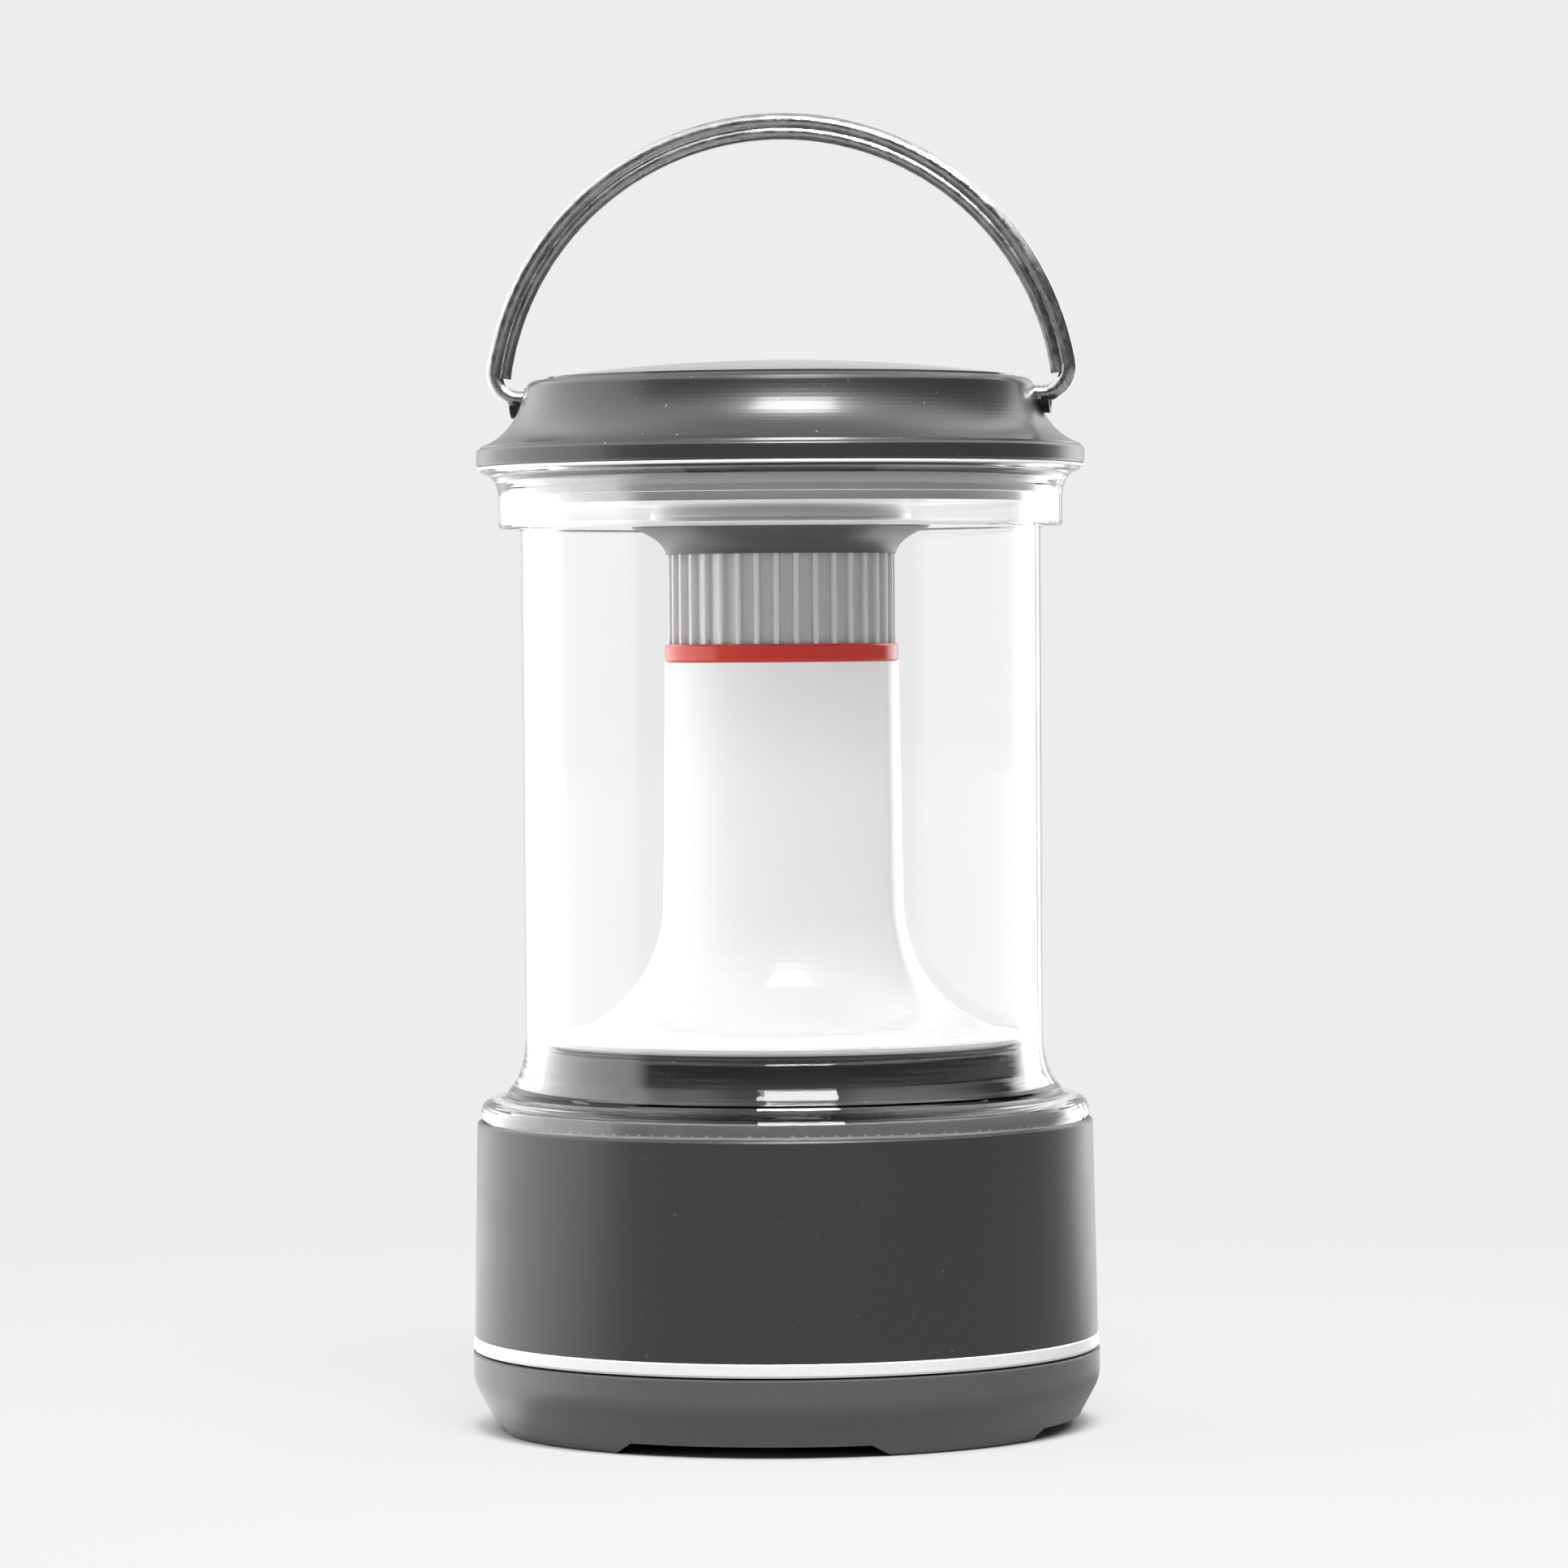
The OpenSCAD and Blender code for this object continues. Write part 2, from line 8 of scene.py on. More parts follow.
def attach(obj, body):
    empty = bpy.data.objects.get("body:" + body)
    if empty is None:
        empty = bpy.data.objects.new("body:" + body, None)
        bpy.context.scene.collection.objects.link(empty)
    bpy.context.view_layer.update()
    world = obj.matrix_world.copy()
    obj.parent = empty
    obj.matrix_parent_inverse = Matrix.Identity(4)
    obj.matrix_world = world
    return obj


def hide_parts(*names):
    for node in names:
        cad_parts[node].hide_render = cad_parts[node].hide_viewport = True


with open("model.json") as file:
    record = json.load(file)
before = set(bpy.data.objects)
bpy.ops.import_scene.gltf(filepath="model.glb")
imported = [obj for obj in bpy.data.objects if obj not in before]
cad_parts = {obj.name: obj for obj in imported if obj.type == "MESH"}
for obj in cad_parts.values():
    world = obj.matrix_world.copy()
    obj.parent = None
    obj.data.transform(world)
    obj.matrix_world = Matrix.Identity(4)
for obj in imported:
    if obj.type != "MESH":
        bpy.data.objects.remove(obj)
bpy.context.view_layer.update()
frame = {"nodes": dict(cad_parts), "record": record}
print("frame loaded")

mm = 0.001
nodes = frame["nodes"]


view = {
    "azimuth": 7.4,      # degrees, turns the bail's +X leg towards the viewer
    "distance": 1.32,    # from the lantern's axis
    "height": 0.155,     # above the floor
    "pitch": -1.40,
    "roll": -0.42,
    "swing": -0.011,     # degrees that the camera looks past the axis
    "lens": 158.4,
}

studio = {
    "pale": 0.847,       # tone that the viewer sees beyond the floor
    "tent": 0.88,        # light from behind, from the left and from above
    "leftWing": 1.35,    # extra light from behind on the left
    "rightWing": 1.7,    # and on the right
    "room": 0.10,        # light from the viewer's side
    "roomFloor": 0.60,   # light that the floor returns there
    "darkLean": 0.6,     # how far the dark side is turned to the right of the viewer
    "keyPower": 15.0,
    "keySize": (0.46, 0.34),
    "keyPlace": (16, 56, 1.0),  # azimuth, elevation, distance
    "keyAim": 0.12,      # height that the key light points at
    "floorGrey": 0.52,
    "floorGlow": 0.80,   # part of the floor's tone that needs no light
}


def makeCamera():
    data = bpy.data.cameras.new("camera")
    data.lens = view["lens"]
    data.sensor_width = 36
    data.clip_start, data.clip_end = 0.05, 30
    cam = bpy.data.objects.new("camera", data)
    bpy.context.scene.collection.objects.link(cam)
    turn = math.radians(view["azimuth"])
    cam.location = (view["distance"] * math.sin(turn), -view["distance"] * math.cos(turn), view["height"])
    swung = Matrix.Rotation(turn + math.radians(view["swing"]), 4, "Z")
    raised = Matrix.Rotation(math.radians(90 + view["pitch"]), 4, "X")
    rolled = Matrix.Rotation(math.radians(view["roll"]), 4, "Z")
    cam.rotation_euler = (swung @ raised @ rolled).to_euler()
    bpy.context.scene.camera = cam


def makeKeyLight():
    data = bpy.data.lights.new("keyLight", "AREA")
    data.shape = "RECTANGLE"
    data.size, data.size_y = studio["keySize"]
    data.energy = studio["keyPower"]
    lamp = bpy.data.objects.new("keyLight", data)
    bpy.context.scene.collection.objects.link(lamp)
    azimuth, elevation, distance = studio["keyPlace"]
    a, e = math.radians(azimuth), math.radians(elevation)
    away = Vector((math.sin(a) * math.cos(e), -math.cos(a) * math.cos(e), math.sin(e)))
    lamp.location = Vector((0, 0, studio["keyAim"])) + away * distance
    lamp.rotation_euler = away.to_track_quat("Z", "Y").to_euler()


# Part of a vector that runs in a given direction
def measureAlong(tree, vector, direction):
    along = tree.nodes.new("ShaderNodeVectorMath")
    along.operation = "DOT_PRODUCT"
    along.inputs[1].default_value = direction
    tree.links.new(vector, along.inputs[0])
    return along.outputs["Value"]


def mapValue(tree, value, fromLow, fromHigh, toLow, toHigh, smooth=True):
    ramp = tree.nodes.new("ShaderNodeMapRange")
    ramp.interpolation_type = "SMOOTHSTEP" if smooth else "LINEAR"
    for label, number in (("From Min", fromLow), ("From Max", fromHigh), ("To Min", toLow), ("To Max", toHigh)):
        ramp.inputs[label].default_value = number
    tree.links.new(value, ramp.inputs["Value"])
    return ramp.outputs["Result"]


def combine(tree, operation, *values):
    node = tree.nodes.new("ShaderNodeMath")
    node.operation = operation
    for socket, value in zip(node.inputs, values):
        if isinstance(value, (int, float)):
            socket.default_value = value
        else:
            tree.links.new(value, socket)
    return node.outputs["Value"]


# The tone that the camera sees directly differs from the light that falls on the lantern
def chooseForViewer(tree, unseen, seen):
    path = tree.nodes.new("ShaderNodeLightPath")
    pick = tree.nodes.new("ShaderNodeMapRange")
    tree.links.new(path.outputs["Is Camera Ray"], pick.inputs["Value"])
    for label, value in (("To Min", unseen), ("To Max", seen)):
        if isinstance(value, (int, float)):
            pick.inputs[label].default_value = value
        else:
            tree.links.new(value, pick.inputs[label])
    return pick.outputs["Result"]


# How bright the studio is in a given direction; front is its tone on the viewer's side
def lightAround(tree, way, front):
    turn = math.radians(view["azimuth"])
    nearer, right = Vector((math.sin(turn), -math.cos(turn), 0)), Vector((math.cos(turn), math.sin(turn), 0))
    forward = mapValue(tree, measureAlong(tree, way, nearer + right * studio["darkLean"]), -0.30, -0.07, 0, 1)
    lowDown = mapValue(tree, measureAlong(tree, way, (0, 0, 1)), 0.50, 0.80, 1, 0)
    dark = combine(tree, "MULTIPLY", forward, lowDown)
    side = measureAlong(tree, way, right)
    rightWing = mapValue(tree, side, 0.22, 0.50, studio["tent"], studio["tent"] + studio["rightWing"])
    wings = combine(tree, "ADD", rightWing, mapValue(tree, side, -0.22, -0.50, 0, studio["leftWing"]))
    shade = mapValue(tree, dark, 0, 1, 1, 0, smooth=False)
    return combine(tree, "MULTIPLY_ADD", wings, shade, combine(tree, "MULTIPLY", dark, front))


def makeWorld():
    world = bpy.data.worlds.new("studio")
    bpy.context.scene.world = world
    world.use_nodes = True
    tree = world.node_tree
    lit = tree.nodes["Background"]
    lit.inputs["Color"].default_value = (1, 1, 1, 1)
    way = tree.nodes.new("ShaderNodeTexCoord").outputs["Generated"]
    around = lightAround(tree, way, studio["room"])
    tree.links.new(chooseForViewer(tree, around, studio["pale"]), lit.inputs["Strength"])


def makeFloor():
    bm = bmesh.new()
    bmesh.ops.create_circle(bm, cap_ends=True, segments=96, radius=6)
    mesh = bpy.data.meshes.new("floor")
    bm.to_mesh(mesh)
    bm.free()
    floor = bpy.data.objects.new("floor", mesh)
    bpy.context.scene.collection.objects.link(floor)
    mat = bpy.data.materials.new("paleFloor")
    mat.use_nodes = True
    tree = mat.node_tree
    tree.nodes.clear()
    place = tree.nodes.new("ShaderNodeTexCoord").outputs["Object"]
    reach, way = tree.nodes.new("ShaderNodeVectorMath"), tree.nodes.new("ShaderNodeVectorMath")
    reach.operation, way.operation = "LENGTH", "NORMALIZE"
    tree.links.new(place, reach.inputs[0])
    tree.links.new(place, way.inputs[0])
    # the floor glows beyond the foot, and stays matt beneath it, where the contact shadow is
    near = mapValue(tree, reach.outputs["Value"], 0.054, 0.064, 0, studio["floorGlow"])
    far = mapValue(tree, reach.outputs["Value"], 0.12, 0.60, 0, 1 - studio["floorGlow"])
    matte = tree.nodes.new("ShaderNodeBsdfDiffuse")
    matte.inputs["Color"].default_value = (studio["floorGrey"],) * 3 + (1,)
    glow = tree.nodes.new("ShaderNodeEmission")
    around = lightAround(tree, way.outputs["Vector"], studio["roomFloor"])
    tree.links.new(chooseForViewer(tree, around, studio["pale"]), glow.inputs["Strength"])
    mix = tree.nodes.new("ShaderNodeMixShader")
    tree.links.new(combine(tree, "ADD", near, far), mix.inputs["Fac"])
    tree.links.new(matte.outputs["BSDF"], mix.inputs[1])
    tree.links.new(glow.outputs["Emission"], mix.inputs[2])
    out = tree.nodes.new("ShaderNodeOutputMaterial")
    tree.links.new(mix.outputs["Shader"], out.inputs["Surface"])
    mesh.materials.append(mat)


makeCamera()
makeWorld()
makeFloor()
makeKeyLight()
bpy.context.scene.view_settings.view_transform = "Standard"
print("camera, lights and floor made")


def newGroup(name, inputs, outputs):
    group = bpy.data.node_groups.new(name, "ShaderNodeTree")
    for label, kind, value in inputs:
        socket = group.interface.new_socket(name=label, in_out="INPUT", socket_type=kind)
        socket.default_value = value
    for label, kind in outputs:
        group.interface.new_socket(name=label, in_out="OUTPUT", socket_type=kind)
    return group, group.nodes.new("NodeGroupInput"), group.nodes.new("NodeGroupOutput")


def addNoise(group, vector, scale, detail, roughness=0.5, distortion=0.0):
    noise = group.nodes.new("ShaderNodeTexNoise")
    noise.inputs["Detail"].default_value = detail
    noise.inputs["Roughness"].default_value = roughness
    noise.inputs["Distortion"].default_value = distortion
    group.links.new(vector, noise.inputs["Vector"])
    if isinstance(scale, (int, float)):
        noise.inputs["Scale"].default_value = scale
    else:
        group.links.new(scale, noise.inputs["Scale"])
    return noise.outputs["Fac"]


# Fine grain of a moulded surface, with slow waves under it
def makeGrainGroup():
    group, given, result = newGroup("mouldGrain", [
        ("Scale", "NodeSocketFloat", 900.0), ("Waviness", "NodeSocketFloat", 0.3),
    ], [("Height", "NodeSocketFloat"), ("Mask", "NodeSocketFloat")])
    place = group.nodes.new("ShaderNodeTexCoord").outputs["Object"]
    fine = addNoise(group, place, given.outputs["Scale"], 3)
    slow = addNoise(group, place, 22, 2)
    height = combine(group, "MULTIPLY_ADD", slow, given.outputs["Waviness"], fine)
    group.links.new(height, result.inputs["Height"])
    group.links.new(fine, result.inputs["Mask"])
    return group


# Cloudy traces of handling
def makeSmudgeGroup():
    group, given, result = newGroup("smudges", [
        ("Scale", "NodeSocketFloat", 14.0), ("Low", "NodeSocketFloat", 0.3), ("High", "NodeSocketFloat", 0.4),
    ], [("Value", "NodeSocketFloat"), ("Mask", "NodeSocketFloat")])
    place = group.nodes.new("ShaderNodeTexCoord").outputs["Object"]
    cloud = addNoise(group, place, given.outputs["Scale"], 4, 0.6, 0.6)
    spread = mapValue(group, cloud, 0.35, 0.65, 0, 1, smooth=False)
    step = combine(group, "SUBTRACT", given.outputs["High"], given.outputs["Low"])
    value = combine(group, "MULTIPLY_ADD", spread, step, given.outputs["Low"])
    group.links.new(value, result.inputs["Value"])
    group.links.new(spread, result.inputs["Mask"])
    return group


# Specks of dust, most of them on surfaces that face up
def makeDustGroup():
    group, given, result = newGroup("dustSpecks", [
        ("Scale", "NodeSocketFloat", 1100.0), ("Amount", "NodeSocketFloat", 0.2),
    ], [("Mask", "NodeSocketFloat")])
    place = group.nodes.new("ShaderNodeTexCoord").outputs["Object"]
    specks = mapValue(group, addNoise(group, place, given.outputs["Scale"], 2), 0.72, 0.80, 0, 1)
    facing = group.nodes.new("ShaderNodeNewGeometry").outputs["Normal"]
    upward = mapValue(group, measureAlong(group, facing, (0, 0, 1)), -0.3, 0.9, 0.1, 1)
    shown = combine(group, "MULTIPLY", combine(group, "MULTIPLY", specks, upward), given.outputs["Amount"])
    group.links.new(shown, result.inputs["Mask"])
    return group


# Streaks that run round a centre in the upright plane, as on drawn wire bent into an arch
def makeStreakGroup():
    group, given, result = newGroup("wireStreaks", [
        ("Centre", "NodeSocketFloat", 0.19), ("Density", "NodeSocketFloat", 1.0),
    ], [("Height", "NodeSocketFloat"), ("Mask", "NodeSocketFloat")])
    split = group.nodes.new("ShaderNodeSeparateXYZ")
    group.links.new(group.nodes.new("ShaderNodeTexCoord").outputs["Object"], split.inputs["Vector"])
    rise = combine(group, "SUBTRACT", split.outputs["Z"], given.outputs["Centre"])
    reach = combine(group, "SQRT", combine(group, "ADD", combine(group, "MULTIPLY", rise, rise),
                                           combine(group, "MULTIPLY", split.outputs["X"], split.outputs["X"])))
    angle = combine(group, "ARCTAN2", rise, split.outputs["X"])
    joined = group.nodes.new("ShaderNodeCombineXYZ")
    group.links.new(combine(group, "MULTIPLY", reach, 2600), joined.inputs["X"])
    group.links.new(combine(group, "MULTIPLY", angle, 26), joined.inputs["Y"])
    group.links.new(combine(group, "MULTIPLY", split.outputs["Y"], 2600), joined.inputs["Z"])
    streaks = addNoise(group, joined.outputs["Vector"], given.outputs["Density"], 3, 0.6)
    group.links.new(streaks, result.inputs["Height"])
    group.links.new(mapValue(group, streaks, 0.42, 0.62, 0, 1), result.inputs["Mask"])
    return group


grainGroup = makeGrainGroup()
smudgeGroup = makeSmudgeGroup()
dustGroup = makeDustGroup()
streakGroup = makeStreakGroup()
print("shader groups made")


# A new material; an underscore in a constant's name stands for a space in the shader's socket
def newMaterial(name, **constants):
    mat = bpy.data.materials.new(name)
    mat.use_nodes = True
    shader = mat.node_tree.nodes["Principled BSDF"]
    for label, value in constants.items():
        shader.inputs[label.replace("_", " ")].default_value = value
    return mat, mat.node_tree, shader


def placeGroup(tree, group, **values):
    node = tree.nodes.new("ShaderNodeGroup")
    node.node_tree = group
    for label, value in values.items():
        node.inputs[label].default_value = value
    return node


def grey(value, warm=0.0):
    return (value * (1 + warm), value, value * (1 - warm), 1)  # warm leans it towards orange


# Mixes two colours by a mask; either may be a plain colour or a socket
def mixColour(tree, mask, first, second):
    mix = tree.nodes.new("ShaderNodeMix")
    mix.data_type = "RGBA"
    tree.links.new(mask, mix.inputs["Factor"])
    ends = [s for s in mix.inputs if s.type == "RGBA"]
    for socket, colour in zip(ends, (first, second)):
        if isinstance(colour, tuple):
            socket.default_value = colour
        else:
            tree.links.new(colour, socket)
    return [s for s in mix.outputs if s.type == "RGBA"][0]


def addBump(tree, shader, height, depth):
    bump = tree.nodes.new("ShaderNodeBump")
    bump.inputs["Strength"].default_value = depth
    bump.inputs["Distance"].default_value = 0.0002
    tree.links.new(height, bump.inputs["Height"])
    tree.links.new(bump.outputs["Normal"], shader.inputs["Normal"])


# A moulded, painted or rubber surface: grain, traces of handling, and dust on what faces up
def surface(name, colour, roughness, grain=900.0, depth=0.1, dust=0.0, **constants):
    mat, tree, shader = newMaterial(name, **constants)
    if not isinstance(colour, tuple):
        colour = grey(colour)
    darker = tuple(c * 0.84 for c in colour[:3]) + (1,)
    grainNode = placeGroup(tree, grainGroup, Scale=grain, Waviness=0.4)
    smudge = placeGroup(tree, smudgeGroup, Scale=16, Low=roughness[0], High=roughness[1])
    tree.links.new(smudge.outputs["Value"], shader.inputs["Roughness"])
    base = mixColour(tree, grainNode.outputs["Mask"], darker, colour)
    if dust:
        specks = placeGroup(tree, dustGroup, Amount=dust)
        base = mixColour(tree, specks.outputs["Mask"], base, grey(0.55, 0.02))
    tree.links.new(base, shader.inputs["Base Color"])
    if depth:
        addBump(tree, shader, grainNode.outputs["Height"], depth)
    return mat


def clearPlastic():
    mat, tree, shader = newMaterial("clearPlastic", Transmission_Weight=1.0, IOR=1.32)
    smudge = placeGroup(tree, smudgeGroup, Scale=30, Low=0.0, High=0.02)
    tree.links.new(smudge.outputs["Value"], shader.inputs["Roughness"])
    tint = mixColour(tree, smudge.outputs["Mask"], (0.985, 0.99, 0.99, 1), (0.996, 0.998, 1, 1))
    tree.links.new(tint, shader.inputs["Base Color"])
    return mat


# White plastic with a painted glow, lighter towards the top; a painted darker line marks where
# the inner wall ends, and the outer band beyond it carries a little more painted glow
def diffuserPlastic():
    # painted glow, weaker at the bottom than at the top
    glow = {"top": 0.25, "bottom": 0.17}
    mat, tree, shader = newMaterial("diffuserPlastic", Specular_IOR_Level=0.22)
    smudge = placeGroup(tree, smudgeGroup, Scale=20, Low=0.10, High=0.16)
    tree.links.new(smudge.outputs["Value"], shader.inputs["Roughness"])
    tint = mixColour(tree, smudge.outputs["Mask"], (0.80, 0.80, 0.80, 1), (0.82, 0.82, 0.815, 1))
    tree.links.new(tint, shader.inputs["Base Color"])
    place = tree.nodes.new("ShaderNodeTexCoord").outputs["Object"]
    paintedGlowFade = mapValue(tree, measureAlong(tree, place, (0, 0, 1)), 0.074, 0.146, glow["bottom"], glow["top"])
    facing = tree.nodes.new("ShaderNodeLayerWeight").outputs["Facing"]
    # painted darker line where the inner wall ends, and a painted lighter band beyond it
    line = combine(tree, "PINGPONG", mapValue(tree, facing, 0.50, 0.62, 0, 2, smooth=False), 1)
    band = mapValue(tree, facing, 0.56, 0.60, 0, 0.03)
    lit = combine(tree, "ADD", combine(tree, "MULTIPLY_ADD", line, -0.05, paintedGlowFade), band)
    shader.inputs["Emission Strength"].default_value = 1
    tree.links.new(lit, shader.inputs["Emission Color"])
    return mat


# Pale plastic with a painted glow that grows towards its edges, where the wall is seen at a slant
def ceilingPlastic():
    mat, tree, shader = newMaterial("ceilingPlastic", Metallic=0.3)
    smudge = placeGroup(tree, smudgeGroup, Scale=26, Low=0.24, High=0.32)
    tree.links.new(smudge.outputs["Value"], shader.inputs["Roughness"])
    tree.links.new(mixColour(tree, smudge.outputs["Mask"], grey(0.45), grey(0.51)), shader.inputs["Base Color"])
    facing = tree.nodes.new("ShaderNodeLayerWeight").outputs["Facing"]
    shader.inputs["Emission Strength"].default_value = 1
    # painted glow, stronger where the wall is seen at a slant
    tree.links.new(mapValue(tree, facing, 0.25, 0.95, 0.09, 0.46), shader.inputs["Emission Color"])
    return mat


# Cast metal; the tips of the ribs are painted near white as a highlight, and the valleys stay darker as painted
# shade
def sinkMetal():
    paintedTipHighlight = {"valley": 0.0209, "tip": 0.02155}
    mat, tree, shader = newMaterial("sinkMetal")
    grainNode = placeGroup(tree, grainGroup, Scale=900, Waviness=0.4)
    smudge = placeGroup(tree, smudgeGroup, Scale=16, Low=0.34, High=0.42)
    tree.links.new(smudge.outputs["Value"], shader.inputs["Roughness"])
    split = tree.nodes.new("ShaderNodeSeparateXYZ")
    tree.links.new(tree.nodes.new("ShaderNodeTexCoord").outputs["Object"], split.inputs["Vector"])
    squares = [combine(tree, "MULTIPLY", split.outputs[axis], split.outputs[axis]) for axis in "XY"]
    reach = combine(tree, "SQRT", combine(tree, "ADD", *squares))
    base = mixColour(tree, grainNode.outputs["Mask"], grey(0.72), grey(0.82))
    # painted highlight on the rib tips, painted shade left in the valleys
    tip = mapValue(tree, reach, paintedTipHighlight["valley"], paintedTipHighlight["tip"], 0, 1)
    tree.links.new(mixColour(tree, tip, base, grey(0.97)), shader.inputs["Base Color"])
    tree.links.new(mapValue(tree, reach, paintedTipHighlight["valley"], paintedTipHighlight["tip"], 0.30, 0.0), shader.inputs["Metallic"])
    addBump(tree, shader, grainNode.outputs["Height"], 0.06)
    return mat


# Drawn steel wire, polished along its length and mottled by use
def bailSteel():
    mat, tree, shader = newMaterial("bailSteel", Metallic=1.0)
    streak = placeGroup(tree, streakGroup, Centre=0.1933, Density=1.0)
    smudge = placeGroup(tree, smudgeGroup, Scale=260, Low=0.16, High=0.32)
    tree.links.new(smudge.outputs["Value"], shader.inputs["Roughness"])
    base = mixColour(tree, streak.outputs["Mask"], grey(0.30), grey(0.52))
    tree.links.new(mixColour(tree, smudge.outputs["Mask"], base, grey(0.44)), shader.inputs["Base Color"])
    addBump(tree, shader, streak.outputs["Height"], 0.25)
    return mat


materials = {
    "shell_grey": surface("shellPlastic", 0.030, (0.32, 0.40), depth=0.08, dust=0.5),
    "foot_rubber": surface("footRubber", 0.080, (0.36, 0.46), grain=1500.0, depth=0.3, dust=0.6, IOR=1.62),
    "trim_white": surface("trimPlastic", 0.80, (0.25, 0.32), depth=0.04),
    "shoulder_black": surface("shoulderPlastic", 0.03, (0.05, 0.09), depth=0.0, dust=0.4, IOR=1.5),
    "clear_plastic": clearPlastic(),
    "diffuser_white": diffuserPlastic(),
    "accent_red": surface("accentPlastic", (0.90, 0.055, 0.042, 1), (0.16, 0.22), depth=0.03),
    "sink_silver": sinkMetal(),
    "ceiling_grey": ceilingPlastic(),
    "collar_grey": surface("collarPlastic", 0.10, (0.34, 0.42), depth=0.06),
    "cap_grey": surface("capPaint", 0.020, (0.34, 0.42), grain=1300.0, depth=0.08, dust=0.7, Coat_Weight=0.35,
                        Coat_Roughness=0.16),
    "plate_grey": surface("platePlastic", 0.06, (0.10, 0.16), depth=0.02, dust=0.5),
    "bail_steel": bailSteel(),
    "button_grey": surface("buttonPlastic", 0.09, (0.42, 0.5), grain=1300.0, depth=0.15),
    "bezel_grey": surface("bezelPlastic", 0.2, (0.25, 0.35), depth=0.05),
    "inner_grey": surface("innerPlastic", 0.06, (0.42, 0.52)),
    "inner_white": surface("innerWhite", 0.8, (0.4, 0.5)),
    "seal_black": surface("sealRubber", 0.02, (0.6, 0.7)),
    "seal_pale": surface("sealSilicone", 0.55, (0.4, 0.5), depth=0.05),
    "circuit_green": surface("circuitBoard", (0.02, 0.18, 0.08, 1), (0.3, 0.4), depth=0.03),
    "component_black": surface("componentCase", 0.02, (0.35, 0.45)),
    "chip_yellow": surface("chipPhosphor", (0.8, 0.68, 0.2, 1), (0.35, 0.45)),
    "wire_red": surface("wireJacket", (0.5, 0.03, 0.02, 1), (0.3, 0.4), depth=0.04),
    "screw_steel": surface("screwSteel", 0.6, (0.26, 0.36), depth=0.05, Metallic=1.0),
    "contact_brass": surface("contactBrass", (0.75, 0.55, 0.25, 1), (0.25, 0.35), depth=0.04, Metallic=1.0),
    "cell_jacket": surface("cellJacket", (0.30, 0.2, 0.05, 1), (0.3, 0.4), depth=0.04),
}

for entry in frame["record"]["subparts"]:
    cadPart = nodes[entry["node"]]
    cadPart.data.materials.clear()
    cadPart.data.materials.append(materials[entry["material_slot"]])
print("materials placed")


# Finishes a mesh, rides it on its body and, where it stands in for CAD nodes, says which
def addPiece(name, bm, body, slotName, standsFor=None):
    bmesh.ops.remove_doubles(bm, verts=bm.verts, dist=1e-7)
    bmesh.ops.recalc_face_normals(bm, faces=bm.faces)
    mesh = bpy.data.meshes.new(name)
    bm.to_mesh(mesh)
    bm.free()
    mesh.shade_smooth()
    mesh.set_sharp_from_angle(angle=math.radians(32))
    mesh.materials.append(materials[slotName])
    piece = bpy.data.objects.new(name, mesh)
    bpy.context.scene.collection.objects.link(piece)
    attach(piece, body)
    if standsFor:
        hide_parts(*standsFor)


# Turns a closed outline of (radius, height) points, in millimetres, round the lantern's axis
def lathe(outline, steps=180):
    bm = bmesh.new()
    corners = [bm.verts.new((r * mm, 0, z * mm)) for r, z in outline]
    edges = [bm.edges.new(pair) for pair in zip(corners, corners[1:] + corners[:1])]
    bmesh.ops.spin(bm, geom=corners + edges, cent=(0, 0, 0), axis=(0, 0, 1), angle=2 * math.pi,
                   steps=steps, use_merge=True)
    return bm


# Rounds every corner of an outline that carries a third number, its radius
def rounded(corners, steps=4):
    points = []
    for i, corner in enumerate(corners):
        here = Vector(corner[:2])
        radius = corner[2] if len(corner) > 2 else 0
        if not radius:
            points.append(tuple(here))
            continue
        back = (Vector(corners[i - 1][:2]) - here).normalized()
        ahead = (Vector(corners[(i + 1) % len(corners)][:2]) - here).normalized()
        reach = radius / math.tan(back.angle(ahead) / 2)
        first, last = here + back * reach, here + ahead * reach
        for k in range(steps + 1):
            f = k / steps
            points.append(tuple(first * (1 - f) ** 2 + here * (2 * f * (1 - f)) + last * f ** 2))
    return points


# A white ring at the polished lip of the clear collar is a painted highlight: the light line under the cap's
# rim
collarHighlightRing = {"outer": 57.9, "inner": 56.6, "low": 183.0, "high": 183.62, "round": 0.25}


def makeCollarHighlightRing():
    near, far, low, high, edge = (collarHighlightRing[k] for k in ("inner", "outer", "low", "high", "round"))
    outline = rounded([(near, low), (far, low, edge), (far, high, edge), (near, high)])
    # painted highlight: a white ring where the clear lip catches the light
    addPiece("collarHighlightRing", lathe(outline), "lantern", "trim_white")


# A grey band, seen through the globe's bead, is painted light: it lightens the bead where the bead reflects
# light
beadReflectionBand = {"outer": 56.2, "inner": 54.0, "low": 59.45, "high": 61.3, "rise": 0.55, "round": 0.3}


def makeBeadReflectionBand():
    near, far, low, high, edge = (beadReflectionBand[k] for k in ("inner", "outer", "low", "high", "round"))
    outline = rounded([(near, low), (far, low), (far, high, edge), (near, high + beadReflectionBand["rise"], edge)])
    # painted reflection: a lighter band behind the bead
    addPiece("beadReflectionBand", lathe(outline), "lantern", "bezel_grey")


# A dark band round the top of the ceiling's wall is painted shade under the cap; it also hides the joint with
# the cap
capShadeBand = {"outer": 52.35, "inner": 51.95, "low": 181.8, "high": 184.2, "round": 0.15}


